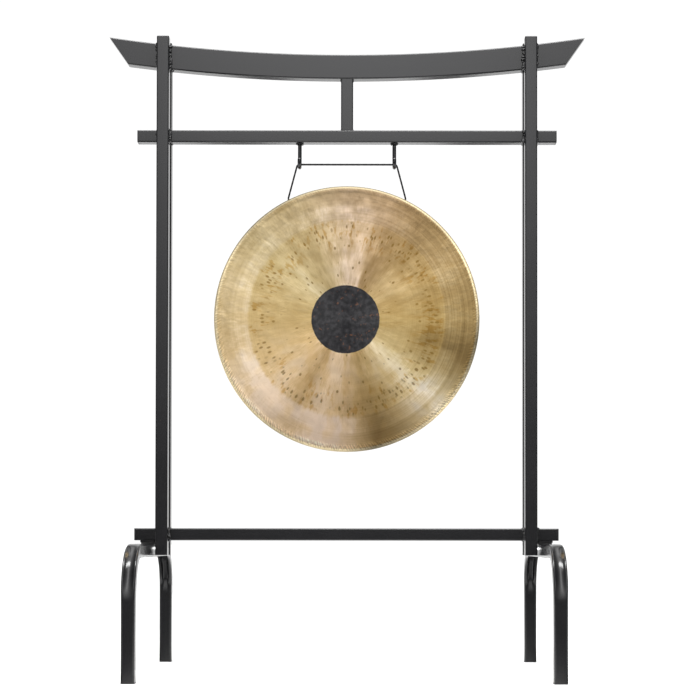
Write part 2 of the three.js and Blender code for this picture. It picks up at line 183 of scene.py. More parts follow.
def gives(tree, values):
    """Ends a group: each named value becomes one of its outputs."""
    kinds = {"VALUE": "Float", "VECTOR": "Vector", "GEOMETRY": "Geometry"}
    for name, value in values.items():
        kind = kinds[value.socket.type]
        tree.interface.new_socket(name, in_out="OUTPUT", socket_type=f"NodeSocket{kind}")
    add(tree, "NodeGroupOutput", values)


def store(geometry, name, value, kind="FLOAT"):
    """Keeps a value on each point of a geometry under a name."""
    return geometry.into("StoreNamedAttribute", {"Name": name, "Value": value},
                         data_type=kind, domain="POINT")


def stored(tree, name, kind="FLOAT"):
    """The value that was kept under a name."""
    return add(tree, "GeometryNodeInputNamedAttribute", {"Name": name}, data_type=kind)


def made_from(source, tree=None, values=None, finish=None):
    """The mesh that a geometry tree, and then a finish, make of a source mesh."""
    holder = placed("holder", source)
    if tree:
        modifier = holder.modifiers.new("made", "NODES")
        modifier.node_group = tree
        for item in tree.interface.items_tree:
            if item.item_type == "SOCKET" and item.in_out == "INPUT" and item.name in values:
                modifier[item.identifier] = values[item.name]
    if finish:
        finish(holder)
    depsgraph = bpy.context.evaluated_depsgraph_get()
    mesh = bpy.data.meshes.new_from_object(holder.evaluated_get(depsgraph), depsgraph=depsgraph)
    bpy.data.objects.remove(holder)
    return mesh


def keep(mesh, name, body, *nodes, slot=None):
    """Puts a finished mesh in the scene as a piece that rides on a body and stands for nodes."""
    mesh.name = name
    piece = placed(name, mesh)
    if body:
        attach(piece, body)
    if nodes:
        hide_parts(*nodes)
    return piece


def piece_from(source, tree, values, name, body, *nodes, slot=None, finish=None):
    """Runs a geometry tree on a source mesh and keeps the result as a plain piece on a body."""
    return keep(made_from(source, tree, values, finish), name, body, *nodes, slot=slot)


def path_mesh(name, lines, values=None):
    """A mesh of open lines for a tree to follow, with an optional named value for each point."""
    mesh = bpy.data.meshes.new(name)
    points = [point for line in lines for point in line]
    edges, start = [], 0
    for line in lines:
        edges += [(start + i, start + i + 1) for i in range(len(line) - 1)]
        start += len(line)
    mesh.from_pydata(points, edges, [])
    for attribute, numbers in (values or {}).items():
        mesh.attributes.new(attribute, "FLOAT", "POINT").data.foreach_set("value", numbers)
    return mesh


MM = 0.001
SIDES = (("left", -1), ("right", 1))
CORD = 4 * MM
BRAID = 4.4 * MM
KNOT = 11 * MM
KNOT_BITE = 1.2 * MM
KNEE = 4 * MM
SLACK = 0.3 * MM
ROD = 9.5 * MM
TROUGH = Vector((0.117, -0.01175, 1.245))
GONG_DROP = 82.5 * MM
GONG_RADIUS = 327.5 * MM
WALL = 2 * MM
DOME = 5 * MM
EDGE_ROUND = 8 * MM
RIM_DEPTH = 65 * MM
RIM_TAPER = 6 * MM
RIM_HOLE = 8 * MM
HOLE_DEPTH = 18 * MM
HOLE_ANGLE = math.radians(26)

# Where the holes are in the gong's rim, and the gong's middle under them
face_end = GONG_RADIUS - EDGE_ROUND
turn_start = DOME * (face_end / GONG_RADIUS) ** 2
rim_start = turn_start + EDGE_ROUND
rim_slope = RIM_TAPER / (RIM_DEPTH - rim_start)
rim_radius = GONG_RADIUS - rim_slope * (HOLE_DEPTH - rim_start)
hole = Vector((
    (rim_radius - WALL / 2) * math.sin(HOLE_ANGLE), TROUGH.y, TROUGH.z - GONG_DROP))
gong_middle = hole.z - (rim_radius - WALL / 2) * math.cos(HOLE_ANGLE)

# Half of the route, from the middle of the span over the right hook and down into the rim
wrap = (ROD + CORD) / 2 + SLACK
bend = 8 * MM
corner = Vector((
    (rim_radius + KNEE) * math.sin(HOLE_ANGLE), TROUGH.y,
    gong_middle + (rim_radius + KNEE) * math.cos(HOLE_ANGLE)))
to_corner = corner - TROUGH
slope = math.atan2(to_corner.x, -to_corner.z) - math.asin(wrap / to_corner.length)
down = Vector((math.sin(slope), 0, -math.cos(slope)))
inward = Vector((-math.sin(HOLE_ANGLE), 0, -math.cos(HOLE_ANGLE)))
bend_start = corner - down * (bend * math.tan((slope + HOLE_ANGLE) / 2))
bend_centre = bend_start + Vector((-math.cos(slope), 0, -math.sin(slope))) * bend
knot_reach = KNOT / 2 + SLACK
knot_depth = math.sqrt(knot_reach ** 2 - (RIM_HOLE / 2) ** 2) + rim_slope * RIM_HOLE / 2
knot_middle = corner + inward * (KNEE + WALL + knot_depth)


def arc(centre, radius, start, end, steps=8):
    """Points on an arc in the plane of the cord. Angles are from up towards +X."""
    angles = [start + (end - start) * i / steps for i in range(steps + 1)]
    return [centre + radius * Vector((math.sin(angle), 0, math.cos(angle))) for angle in angles]


over = arc(TROUGH, wrap, 0, math.pi / 2 - slope)
half = [Vector((TROUGH.x * i / 6, TROUGH.y, TROUGH.z + wrap)) for i in range(6)]
half += over
half += [over[-1].lerp(bend_start, i / 6) for i in range(1, 6)]
half += arc(bend_centre, bend, math.pi / 2 - slope, math.pi / 2 + HOLE_ANGLE)
half += [knot_middle - inward * (knot_reach - KNOT_BITE)]
cord_route = [Vector((-p.x, p.y, p.z)) for p in half][:0:-1] + half
cord_length = sum((b - a).length for a, b in zip(cord_route, cord_route[1:]))


def plaited(along, around, plait_length, strands):
    """The relief of a braid: two sets of strands that wind opposite ways."""
    turns = along / plait_length
    first, second = (
        ((turns * way + around) * strands * math.tau).through("SINE") for way in (1, -1))
    return first * second


# Tree: a round cord along a line, with its place along and round it kept for the braid
cord_tree, given = new_group("GeometryNodeTree", "braided cord", {
    "Geometry": None, "Diameter": CORD, "Plait Length": 5 * MM, "Strands": 4.0,
    "Relief": 0.12 * MM, "Material": None})
line = given["Geometry"].into("MeshToCurve")
line = line.into("ResampleCurve", {"Length": 0.6 * MM}, mode="LENGTH")
line = store(line, "along", add(cord_tree, "GeometryNodeSplineParameter", output="Length"))
ring = add(cord_tree, "GeometryNodeCurvePrimitiveCircle",
           {"Resolution": 16, "Radius": given["Diameter"] * 0.5}, mode="RADIUS")
ring = store(ring, "around", add(cord_tree, "GeometryNodeSplineParameter", output="Factor"))
tube = line.into("CurveToMesh", {"Profile Curve": ring, "Fill Caps": True})
relief = plaited(stored(cord_tree, "along"), stored(cord_tree, "around"),
                 given["Plait Length"], given["Strands"])
facing = add(cord_tree, "GeometryNodeInputNormal")
tube = tube.into("SetPosition", {"Offset": facing * (relief * given["Relief"])})
tube = tube.into("SetShadeSmooth").into("SetMaterial", {"Material": given["Material"]})
gives(cord_tree, {"Geometry": tube})


def new_material(name):
    """An empty node material with its shader, ready for a finish."""
    material = bpy.data.materials.new(name)
    material.use_nodes = True
    tree = material.node_tree
    tree.nodes.clear()
    shader = add(tree, "ShaderNodeBsdfPrincipled")
    add(tree, "ShaderNodeOutputMaterial", {"Surface": shader})
    return material, tree, shader.socket.node


def noise(where, scale, detail):
    """Cloudy noise over a place, from 0 to 1."""
    return add(where.tree, "ShaderNodeTexNoise",
               {"Vector": where, "Scale": scale, "Detail": detail})


def bump(height, strength, distance):
    """The normal of a surface with a fine relief."""
    return add(height.tree, "ShaderNodeBump",
               {"Height": height, "Strength": strength, "Distance": distance})


def ramp(value, stops):
    """A ramp over a value from 0 to 1. Each stop is a position with a grey or a colour."""
    colours = add(value.tree, "ShaderNodeValToRGB", {"Fac": value})
    elements = colours.socket.node.color_ramp.elements
    elements[0].position, elements[1].position = stops[0][0], stops[-1][0]
    for position, _ in stops[1:-1]:
        elements.new(position)
    for element, (_, colour) in zip(elements, stops):
        element.color = (*colour, 1) if isinstance(colour, tuple) else (colour, colour, colour, 1)
    return colours


# Shader group: strands crossing in a braid, from the cord's own two attributes
braid, given = new_group("ShaderNodeTree", "braid", {"Plait Length": 5 * MM, "Strands": 4.0})
along, around = (add(braid, "ShaderNodeAttribute", output="Fac", attribute_name=name)
                 for name in ("along", "around"))
gives(braid, {
    "Strand": plaited(along, around, given["Plait Length"], given["Strands"]),
    "Fuzz": noise(add(braid, "ShaderNodeTexCoord", output="Object"), 1800.0, 3.0)})

cord_material, tree, shader = new_material("black braided cord")
strand = add(tree, "ShaderNodeGroup", output="Strand", node_tree=braid)
tone = strand * 0.25 + strand.also("Fuzz")
set_inputs(shader, {
    "Base Color": ramp(tone, ((0.25, 0.001), (0.8, (0.008, 0.008, 0.009)))),
    "Roughness": 0.75, "Specular IOR Level": 0.2, "Normal": bump(tone, 0.6, 0.15 * MM)})

cord = piece_from(
    path_mesh("cord route", [cord_route]), cord_tree,
    {"Material": cord_material, "Diameter": BRAID}, "gong_cord", None,
    "cord_over_hooks", "cord_drop_left", "cord_drop_right", slot="cord")

# Each knot is an overhand knot pulled tight: a trefoil of the same cord, squeezed to a ball,
# with a short tail that ends in a melted tip.
KNOT_STRAND = 3.4 * MM
KNOT_SPREAD, KNOT_RISE = 1.15 * MM, 1.9 * MM
TAIL_SWAY = 0.25 * MM
ROUND_STEPS, PAST_START = 60, 4
for side, x in SIDES:
    axis = Vector((inward.x * x, 0, inward.z))
    across = Vector((0, 1, 0))
    third = axis.cross(across)
    middle = Vector((knot_middle.x * x, knot_middle.y, knot_middle.z))
    loops = []
    for i in range(ROUND_STEPS + PAST_START):
        t = math.tau * i / ROUND_STEPS
        swell = KNOT_SPREAD * (2 + math.cos(3 * t))
        loops.append(middle + across * (swell * math.cos(2 * t))
                     + third * (swell * math.sin(2 * t)) + axis * (KNOT_RISE * math.sin(3 * t)))
    tail = [middle + axis * (step * MM) + across * (TAIL_SWAY * math.sin(step))
            for step in (*range(2, 21, 2), 21)]
    piece_from(path_mesh("knot route", [loops, tail]), cord_tree,
               {"Material": cord_material, "Diameter": KNOT_STRAND},
               f"cord_knot_tied_{side}", "gong", f"cord_knot_{side}", slot="cord")

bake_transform(cord)


# The floor and the studio: a plain pale floor in a white room. What the stand mirrors is a tall
# softbox in front that fades downwards, a strip of white ceiling, and black cards at the sides and
# on the floor before the feet, which darken the tubes and never show in the picture itself.
def split(vector):
    """The three parts of a vector."""
    first = add(vector.tree, "ShaderNodeSeparateXYZ", {0: vector})
    return first, first.also("Y"), first.also("Z")


def mask(value, start, end, low=0.0, high=1.0, kind="SMOOTHSTEP"):
    """How far a value is on its way from one place to another, given between low and high."""
    return add(value.tree, "ShaderNodeMapRange",
               {"Value": value, "From Min": start, "From Max": end, "To Min": low,
                "To Max": high}, interpolation_type=kind)


def blend(factor, first, second, kind="MIX"):
    """Two colours or greys mixed by a factor."""
    tree = next(v for v in (factor, first, second) if isinstance(v, Value)).tree
    ends = {}
    for name, value in (("A", first), ("B", second)):
        grey = isinstance(value, float)
        ends[name] = (value, value, value, 1) if grey else (
            value if isinstance(value, Value) else (*value, 1))
    return add(tree, "ShaderNodeMix", {"Factor": factor, **ends}, output="Result",
               data_type="RGBA", blend_type=kind)


FLOOR_REACH = 200
floor_mesh = bpy.data.meshes.new("floor")
floor_mesh.from_pydata([(x * FLOOR_REACH, y * FLOOR_REACH, 0)
                        for x, y in ((-1, -1), (1, -1), (1, 1), (-1, 1))], [], [(0, 1, 2, 3)])
floor = placed("floor", floor_mesh)
floor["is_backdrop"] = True
floor_material, tree, shader = new_material("pale floor")
aside, backward, _ = split(add(tree, "ShaderNodeTexCoord", output="Object"))
card = ramp(mask(backward, -4.0, -0.9, kind="LINEAR"), (
    (0.0, 0.06), (0.45, 0.14), (0.70, 0.55), (0.92, 1.0)))
card = card * ramp(abs(aside), ((0.42, 1.0), (0.56, 0.10), (0.82, 0.10), (0.95, 1.0)))
mirrored_ray = add(tree, "ShaderNodeLightPath", output="Is Glossy Ray")
pale = blend(mirrored_ray, 0.9, card)
set_inputs(shader, {"Base Color": pale, "Emission Color": pale, "Emission Strength": 0.35,
                    "Roughness": 0.9, "Specular IOR Level": 0.1})
floor_mesh.materials.append(floor_material)

world = bpy.data.worlds.new("studio")
bpy.context.scene.world = world
world.use_nodes = True
tree = world.node_tree
tree.nodes.clear()
aside, backward, up = split(add(tree, "ShaderNodeTexCoord", output="Generated"))
softbox = 4.5 * ramp(up, (
    (0.0, 0.03), (0.087, 0.15), (0.146, 0.28), (0.204, 0.44), (0.276, 0.61), (0.5, 0.93)))
narrow, wide = ((aside * aside * (-0.5 / width ** 2)).through("EXPONENT") * part
                for part, width in ((0.6, 0.113), (0.4, 0.35)))
softbox = softbox * (narrow + wide) * ramp(0.5 - backward * 0.5, ((0.5, 0.0), (0.65, 1.0)))
backdrop = 1.05 * ramp(backward * 0.5 + 0.5, ((0.88, 0.12), (0.95, 1.0)))
ceiling = 2.1 * ramp(up, ((0.55, 0.0), (0.85, 1.0)))
ceiling = ceiling * ramp(abs(aside), ((0.20, 1.0), (0.55, 0.3)))
seen = add(tree, "ShaderNodeLightPath", output="Is Camera Ray")
light = backdrop.at_least(ceiling).at_least(softbox).at_least(seen * 1.05)
sky = add(tree, "ShaderNodeBackground", {"Color": (1, 1, 1, 1), "Strength": light})
add(tree, "ShaderNodeOutputWorld", {"Surface": sky})

lamp_data = bpy.data.lights.new("overhead softbox", "AREA")
lamp_data.shape = "RECTANGLE"
lamp_data.size, lamp_data.size_y = 2.4, 0.6
lamp_data.energy = 90.0
lamp = placed("overhead softbox", lamp_data)
lamp.location = (0.0, -0.85, 2.9)
lamp.rotation_euler = (Vector((0, 0, 0.5)) - lamp.location).to_track_quat("-Z", "Y").to_euler()


# The posts: cold-drawn square tube with rounded corners, two each side with the rails welded
# between them, powder-coated black in a fine orange peel. Each has a welded plate at its foot.
DEPTHS = (("front", -1), ("rear", 1))
TUBE = 30 * MM
CORNER = 3 * MM


def shaded(geometry, sharp_angle):
    """Smooth faces, with the edges left sharp that turn by more than an angle."""
    turn = add(geometry.tree, "GeometryNodeInputMeshEdgeAngle", output="Unsigned Angle")
    sharp = add(geometry.tree, "FunctionNodeCompare", {"A": turn, "B": sharp_angle},
                data_type="FLOAT", operation="GREATER_THAN")
    smooth = geometry.into("SetShadeSmooth", domain="FACE")
    return smooth.into("SetShadeSmooth", {"Selection": sharp, "Shade Smooth": False},
                       domain="EDGE")


bar_tree, given = new_group("GeometryNodeTree", "square tube along a line", {
    "Geometry": None, "Width": TUBE, "Depth": TUBE, "Corner Radius": CORNER, "Flat Cuts": 0,
    "Outer Sag": 0.0, "Shoulder": 0.0, "Inner Sag": 0.0, "Side Bulge": 0.0, "Material": None})
line = given["Geometry"].into("MeshToCurve").into("SetCurveNormal", mode="MINIMUM_TWIST")
line = store(line, "middle", add(bar_tree, "GeometryNodeInputPosition"), "FLOAT_VECTOR")
line = store(line, "ahead", add(bar_tree, "GeometryNodeInputTangent"), "FLOAT_VECTOR")
section = add(bar_tree, "GeometryNodeCurvePrimitiveQuadrilateral",
              {"Width": given["Width"], "Height": given["Depth"]}, mode="RECTANGLE")
section = section.into("FilletCurve", {"Count": 6, "Radius": given["Corner Radius"]}, mode="POLY")
section = section.into("SubdivideCurve", {"Cuts": given["Flat Cuts"]})
bar = line.into("CurveToMesh", {"Profile Curve": section, "Fill Caps": True})
# Where a line in a plane of constant X is marked as pressed, the wall on the outside of the bend
# sinks between its shoulders, the inner wall folds in and the sides bulge
outer_way = add(bar_tree, "ShaderNodeVectorMath",
                {0: (1, 0, 0), 1: stored(bar_tree, "ahead", "FLOAT_VECTOR")},
                operation="CROSS_PRODUCT")
from_axis = add(bar_tree, "GeometryNodeInputPosition") - stored(
    bar_tree, "middle", "FLOAT_VECTOR")
across = split(from_axis)[0] / (given["Width"] * 0.5)
outwards = from_axis.through("DOT_PRODUCT", outer_way) / (given["Depth"] * 0.5)
between = (1 - across * across).at_least(0.0)
to_side = (1 - between).through("POWER", 4.0)
crease = mask(abs(across), 0.66, 0.30)
sunk = (between * given["Outer Sag"] + to_side * given["Shoulder"]) * outwards.at_least(0.0)
folded = crease * given["Inner Sag"] * outwards.through("MINIMUM", 0.0)
bulge = (1 - outwards * outwards).at_least(0.0) * across * given["Side Bulge"]
pressed = stored(bar_tree, "pressed")
offset = outer_way * ((sunk + folded) * pressed * -1.0) + add(
    bar_tree, "ShaderNodeCombineXYZ", {"X": bulge * pressed})
bar = shaded(bar.into("SetPosition", {"Offset": offset}), math.radians(35))
gives(bar_tree, {"Geometry": bar.into("SetMaterial", {"Material": given["Material"]})})

# Shader group: powder coat, with its orange peel, a faint cloudiness and settled dust
coat, given = new_group("ShaderNodeTree", "powder coat surface", {
    "Peel Size": 1.6 * MM, "Cloud Size": 90 * MM})
where = add(coat, "ShaderNodeTexCoord", output="Object")
tilt = split(add(coat, "ShaderNodeNewGeometry", output="Normal"))[2]
gives(coat, {
    "Peel": noise(where, 1 / given["Peel Size"], 1.0),
    "Cloud": noise(where, 1 / given["Cloud Size"], 3.0),
    "Dust": mask(tilt, 0.3, 1.0, kind="LINEAR") * noise(where, 420.0, 4.0)})


def coated(name, dark, light, smooth, rough, peel, dust=0.12):
    """A black coated or moulded finish: its two tones, two roughnesses and the peel's relief."""
    material, tree, shader = new_material(name)
    cloud = add(tree, "ShaderNodeGroup", output="Cloud", node_tree=coat)
    set_inputs(shader, {
        "Base Color": blend(cloud.also("Dust") * dust, blend(cloud, dark, light),
                            (0.25, 0.24, 0.23)),
        "Roughness": mask(cloud, 0.0, 1.0, smooth, rough, kind="LINEAR"),
        "Normal": bump(cloud.also("Peel"), 0.25, peel)})
    return material


black_coat = coated("black powder coat", (0.005, 0.005, 0.0055), (0.008, 0.008, 0.009),
                    0.15, 0.21, 0.05 * MM, dust=0.03)


def flat_sides(holder):
    """Weights the normals, so that a tube's flats stay flat beside its smooth corners."""
    holder.modifiers.new("flats", "WEIGHTED_NORMAL").keep_sharp = True


def refinished(node, material):
    """Gives a part that keeps its shape a finished material in its object's own slots."""
    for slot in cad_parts[node].material_slots:
        slot.link = "OBJECT"
        slot.material = material


def tube_between(start, end, name, node):
    """A straight square tube of the frame in place of its node."""
    return piece_from(path_mesh(node, [[start, end]]), bar_tree, {"Material": black_coat},
                      name, "stand", node, slot="powder_coat", finish=flat_sides)


for side, x in SIDES:
    for depth, y in DEPTHS:
        low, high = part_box(f"post_{depth}_{side}")
        middle = (low + high) / 2
        tube_between(Vector((middle.x, middle.y, low.z)), Vector((middle.x, middle.y, high.z)),
                     f"post_tube_{depth}_{side}", f"post_{depth}_{side}")
        refinished(f"post_base_{depth}_{side}", black_coat)


# The rails and the strut: the same tube, cut square and welded between the posts. The strut
# stands in the middle, between the second rail and the top rail.
for node in ("bottom_rail", "second_rail"):
    low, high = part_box(node)
    middle = (low + high) / 2
    tube_between(Vector((low.x, middle.y, middle.z)), Vector((high.x, middle.y, middle.z)),
                 f"{node}_tube", node)
strut_low, strut_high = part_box("centre_strut")
tube_between(Vector((0, 0, strut_low.z)), Vector((0, 0, strut_high.z)), "centre_strut_tube",
             "centre_strut")


# The caps: black moulded plugs pushed into the open ends of the posts and straight rails, with a
# thin flange whose edges are rounded, matt and a little greyer than the coat.
FLANGE = 3 * MM
PLUG = 12 * MM
CAP_LIP = 0.7 * MM
PLUG_INSET, PLUG_TAPER = 1.8 * MM, 0.6 * MM
UPRIGHT = Matrix.Identity(3)


def rounded_square(half_x, half_y, corner, height, steps=6):
    """One level of a moulded piece: a rectangle with round corners at a height."""
    ring = []
    for quarter, (x, y) in enumerate(((1, 1), (-1, 1), (-1, -1), (1, -1))):
        for i in range(steps + 1):
            angle = math.pi / 2 * (quarter + i / steps)
            ring.append(Vector((
                x * (half_x - corner) + corner * math.cos(angle),
                y * (half_y - corner) + corner * math.sin(angle), height)))
    return ring


def closed(rings, name):
    """A closed smooth mesh through rings of points, with a flat face at each end."""
    shape = bmesh.new()
    rings = [[shape.verts.new(point) for point in ring] for ring in rings]
    count = len(rings[0])
    for lower, upper in zip(rings, rings[1:]):
        for i in range(count):
            j = (i + 1) % count
            shape.faces.new((lower[i], lower[j], upper[j], upper[i]))
    shape.faces.new(rings[0][::-1])
    shape.faces.new(rings[-1])
    bmesh.ops.recalc_face_normals(shape, faces=shape.faces)
    for face in shape.faces:
        face.smooth = True
    mesh = bpy.data.meshes.new(name)
    shape.to_mesh(mesh)
    shape.free()
    return mesh


def moulded(levels, turn, place, material):
    """A moulded piece through its levels, turned and placed in the stand's frame."""
    mesh = closed([[turn @ point + place for point in level] for level in levels], "moulded")
    mesh.set_sharp_from_angle(angle=math.radians(30))
    mesh.materials.append(material)
    return mesh


cap_plastic = coated("black cap plastic", (0.018, 0.018, 0.019), (0.026, 0.026, 0.027),
                     0.30, 0.38, 0.05 * MM)


def cap_piece(node, name, width, corner, plug, edge, turn, place):
    """A cap in place of its node, from the end of its plug to its rounded outer face."""
    half = width / 2
    inner = half - PLUG_INSET
    tip = inner - PLUG_TAPER
    levels = [rounded_square(tip, tip, 1.2 * MM, -plug),
              rounded_square(inner, inner, 1.5 * MM, -plug + 1 * MM),
              rounded_square(inner, inner, 1.5 * MM, 0),
              rounded_square(half - CAP_LIP, half - CAP_LIP, corner, 0),
              rounded_square(half, half, corner, CAP_LIP)]
    for i in range(5):
        angle = math.pi / 8 * i
        size = half - edge * (1 - math.cos(angle))
        levels.append(rounded_square(size, size, corner, FLANGE - edge + edge * math.sin(angle)))
    return keep(moulded(levels, turn, place, cap_plastic), name, "stand", node,
                slot="cap_plastic")


for side, x in SIDES:
    for depth, y in DEPTHS:
        low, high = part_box(f"post_cap_{depth}_{side}")
        cap_piece(f"post_cap_{depth}_{side}", f"post_plug_{depth}_{side}", TUBE, CORNER, PLUG,
                  1.6 * MM, UPRIGHT,
                  Vector(((low.x + high.x) / 2, (low.y + high.y) / 2, high.z - FLANGE)))
    for rail in ("bottom_rail", "second_rail"):
        low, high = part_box(f"{rail}_cap_{side}")
        outer = high.x if x > 0 else low.x
        cap_piece(f"{rail}_cap_{side}", f"{rail}_plug_{side}", TUBE, CORNER, PLUG, 0.9 * MM,
                  Matrix.Rotation(x * math.pi / 2, 3, "Y"),
                  Vector((outer - x * FLANGE, 0, (low.z + high.z) / 2)))


# The top rail: a deeper tube rolled to a shallow arc whose ends rise, sawn off on a slant and
# closed with thin plates that are welded on and ground flush before coating.
TOP_DEPTH = 60 * MM
TOP_ARC = 4.05
CUT_ANGLE = math.radians(35)
END_PLATE = 2 * MM
SAW_SPARE = 30 * MM
top_radius = TOP_ARC + TOP_DEPTH / 2
arc_height = strut_high.z + TOP_DEPTH + TOP_ARC
end_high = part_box("top_rail_end_right")[1]
reach = math.asin((end_high.x + SAW_SPARE) / top_radius)
arc_line = [Vector((top_radius * math.sin(reach * i / 32), 0,
                    arc_height - top_radius * math.cos(reach * i / 32)))
            for i in range(-32, 33)]


def sawn(mesh, cuts):
    """Keeps what lies on the inner side of each cut, given as a point and an outward normal."""
    shape = bmesh.new()
    shape.from_mesh(mesh)
    for point, outward in cuts:
        everything = shape.verts[:] + shape.edges[:] + shape.faces[:]
        made = bmesh.ops.bisect_plane(shape, geom=everything, plane_co=point, plane_no=outward,
                                      clear_outer=True, dist=1e-7)
        edge = [e for e in made["geom_cut"] if isinstance(e, bmesh.types.BMEdge)]
        bmesh.ops.holes_fill(shape, edges=edge, sides=0)
    whole = bpy.data.meshes.new("sawn")
    shape.to_mesh(whole)
    shape.free()
    whole.materials.append(black_coat)
    whole.set_sharp_from_angle(angle=math.radians(35))
    return made_from(whole, finish=flat_sides)


blank = made_from(path_mesh("top rail", [arc_line]), bar_tree,
                  {"Material": black_coat, "Width": TUBE, "Depth": TOP_DEPTH})
outer_cuts, inner_cuts = {}, {}
for side, x in SIDES:
    outward = Vector((x * math.cos(CUT_ANGLE), 0, -math.sin(CUT_ANGLE)))
    tip = Vector((x * end_high.x, 0, end_high.z))
    outer_cuts[side] = (tip, outward)
    inner_cuts[side] = (tip - outward * END_PLATE, outward)
keep(sawn(blank, inner_cuts.values()), "top_rail_tube", "stand", "top_rail", slot="powder_coat")
for side, _ in SIDES:
    place, outward = inner_cuts[side]
    keep(sawn(blank, [outer_cuts[side], (place, -outward)]), f"top_rail_plate_{side}", "stand",
         f"top_rail_end_{side}", slot="powder_coat")


# The welds: short beads of overlapping ripples at the posts, where the rails cross between them,
# round the tops of the hooks and at the ends of the strut, coated with the frame.
weld_tree, given = new_group("GeometryNodeTree", "weld bead along a line", {
    "Geometry": None, "Ripple": 2.2 * MM, "Width": 7 * MM, "Seed": 3, "Material": None})
line = given["Geometry"].into("MeshToCurve")
line = line.into("ResampleCurve", {"Length": given["Ripple"]}, mode="LENGTH")
turned = add(weld_tree, "FunctionNodeAlignRotationToVector",
             {"Vector": add(weld_tree, "GeometryNodeInputTangent")}, axis="Z")
drop = add(weld_tree, "GeometryNodeMeshUVSphere",
           {"Segments": 16, "Rings": 9, "Radius": given["Width"] * 0.5})
uneven, strayed = (
    add(weld_tree, "FunctionNodeRandomValue", {"Min": least, "Max": most, "Seed": seed},
        data_type="FLOAT_VECTOR")
    for least, most, seed in (
        ((0.60, 0.60, 0.36), (1.12, 1.12, 0.62), given["Seed"]),
        ((-0.14, -0.14, -0.10), (0.14, 0.14, 0.10), given["Seed"] + 1.0)))
line = line.into("SetPosition", {"Offset": strayed * given["Width"]})
bead = line.into("InstanceOnPoints", {"Instance": drop, "Rotation": turned, "Scale": uneven})
bead = bead.into("RealizeInstances").into("SetShadeSmooth")
gives(weld_tree, {"Geometry": bead.into("SetMaterial", {"Material": given["Material"]})})


def welds(name, seams, **sizes):
    """Beads along seams, as one piece on the stand."""
    piece_from(path_mesh("seams", seams), weld_tree, {"Material": black_coat, **sizes}, name,
               "stand", slot="powder_coat")


SEAM_INSET = 1.5 * MM
post_faces = [corner.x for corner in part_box("post_front_right")]
seams = []
for rail, half_height in (("bottom_rail", TUBE / 2), ("second_rail", TUBE / 2),
                          ("top_rail", TOP_DEPTH / 2)):
    low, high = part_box(rail)
    heights = [(low.z + high.z) / 2] * 2
    if rail == "top_rail":
        heights = [arc_height - math.sqrt(top_radius ** 2 - face ** 2) for face in post_faces]
    reach = half_height - SEAM_INSET
    for (_, x), (_, y) in ((a, b) for a in SIDES for b in DEPTHS):
        for face, height in zip(post_faces, heights):
            seams.append([Vector((x * face, y * TUBE / 2, height - reach)),
                          Vector((x * face, y * TUBE / 2, height + reach))])
welds("post_welds", seams, Width=12 * MM, Ripple=4.2 * MM)

COLLAR_RADIUS, COLLAR_DROP = 7 * MM, 1.0 * MM
collars = []
for _, x in SIDES:
    centre = Vector((x * TROUGH.x, 0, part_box("second_rail")[0].z - COLLAR_DROP))
    collars.append([
        centre + COLLAR_RADIUS * Vector((math.cos(math.tau * i / 24),
                                         math.sin(math.tau * i / 24), 0))
        for i in range(24)])
welds("hook_welds", collars, Seed=8, Width=6.5 * MM)

reach = TUBE / 2 - 2 * MM
welds("strut_welds",
      [[Vector((x * TUBE / 2, y * reach, height)) for y in (-1, 1)]
       for height in (strut_low.z, strut_high.z) for _, x in SIDES],
      Seed=5, Width=3.6 * MM, Ripple=1.4 * MM)


# The hooks: round bar bent cold to a short J that opens to the front, its cut end rounded over,
# and coated with the frame.
def round_bar(points, radii, sides=24):
    """A closed round bar through points that lie in one plane of constant X."""
    rings = []
    for i, (point, radius) in enumerate(zip(points, radii)):
        ahead = (points[min(i + 1, len(points) - 1)] - points[max(i - 1, 0)]).normalized()
        out = Vector((1, 0, 0))
        up = ahead.cross(out)
        rings.append([point + out * (radius * math.cos(math.tau * k / sides))
                      + up * (radius * math.sin(math.tau * k / sides)) for k in range(sides)])
    return closed(rings, "round bar")


HOOK_BEND = -TROUGH.y
PRONG = 5 * MM
for side, x in SIDES:
    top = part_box("second_rail")[0].z
    bend_top = TROUGH.z + HOOK_BEND
    points = [Vector((x * TROUGH.x, 0, top + (bend_top - top) * i / 6)) for i in range(7)]
    for i in range(1, 25):
        angle = math.pi * i / 24
        points.append(Vector((x * TROUGH.x, HOOK_BEND * (math.cos(angle) - 1),
                              bend_top - HOOK_BEND * math.sin(angle))))
    prong = points[-1]
    points.append(prong + Vector((0, 0, PRONG)))
    radii = [ROD / 2] * len(points)
    for i in range(1, 9):
        angle = math.pi / 2 * i / 8.2
        points.append(prong + Vector((0, 0, PRONG + ROD / 2 * math.sin(angle))))
        radii.append(ROD / 2 * math.cos(angle))
    hook = round_bar(points, radii)
    hook.materials.append(black_coat)
    keep(hook, f"gong_hook_rod_{side}", "stand", f"gong_hook_{side}", slot="powder_coat")


# The feet: square tube bent round a former to a U, front leg, level bar and rear leg. The bends
# are pressed: the outer wall sinks, the sides bulge and the inner wall folds in a little.
FOOT = 32 * MM
FOOT_BEND = 94 * MM
PRESS_REACH, PRESS_FADE = 92 * MM, 60 * MM
BAR_STEP = 8 * MM
low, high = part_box("foot_right")
foot_x = (low.x + high.x) / 2
leg_y = (high.y - low.y - FOOT) / 2
bar_z = high.z - FOOT / 2
leg_top = bar_z - FOOT_BEND
half_bend = FOOT_BEND * math.pi / 4


def how_pressed(off):
    """How far a bend is pressed at a distance from its middle: it fades out past its ends."""
    share = min(max((PRESS_REACH - off) / PRESS_FADE, 0), 1)
    return share * share * (3 - 2 * share)


